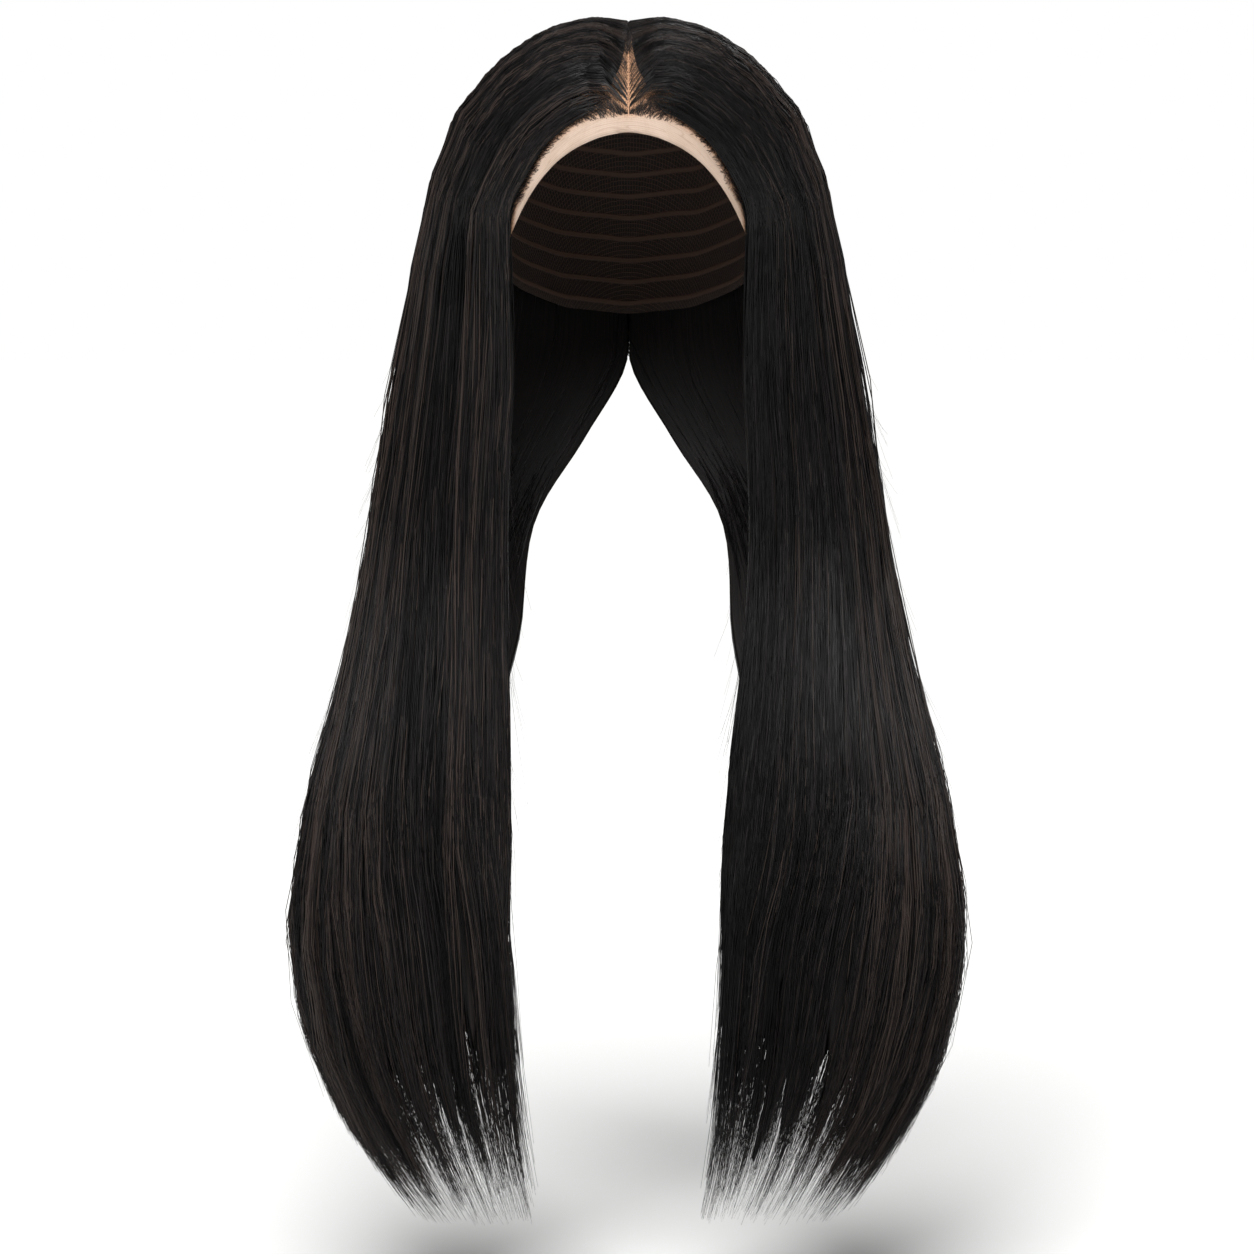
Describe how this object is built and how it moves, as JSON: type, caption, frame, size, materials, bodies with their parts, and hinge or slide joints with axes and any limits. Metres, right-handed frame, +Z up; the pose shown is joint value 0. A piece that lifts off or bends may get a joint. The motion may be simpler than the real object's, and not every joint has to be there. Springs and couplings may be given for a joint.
{
  "type": "straight human hair wig",
  "caption": "Long straight dark human-hair wig with a centre parting: a lace front and a net cap carry full-length locks drawn forward over the shoulders.",
  "frame": {"origin": "The point inside the cap that sits on the top of the head.", "axes": "+Z up, the face looks along -Y, the wearer's left is +X."},
  "size_m": [0.3572, 0.2378, 0.6415],
  "materials": {
    "lace": "flesh-coloured fine mesh lace, matt",
    "net": "dark brown elastic net, matt",
    "hair": "natural black human hair, straight, soft sheen"
  },
  "bodies": {
    "root": {"lace_front": "lace", "net_cap": "net", "hair_front_left": "hair", "hair_back_left": "hair", "hair_front_right": "hair", "hair_back_right": "hair"}
  },
  "joints": []
}
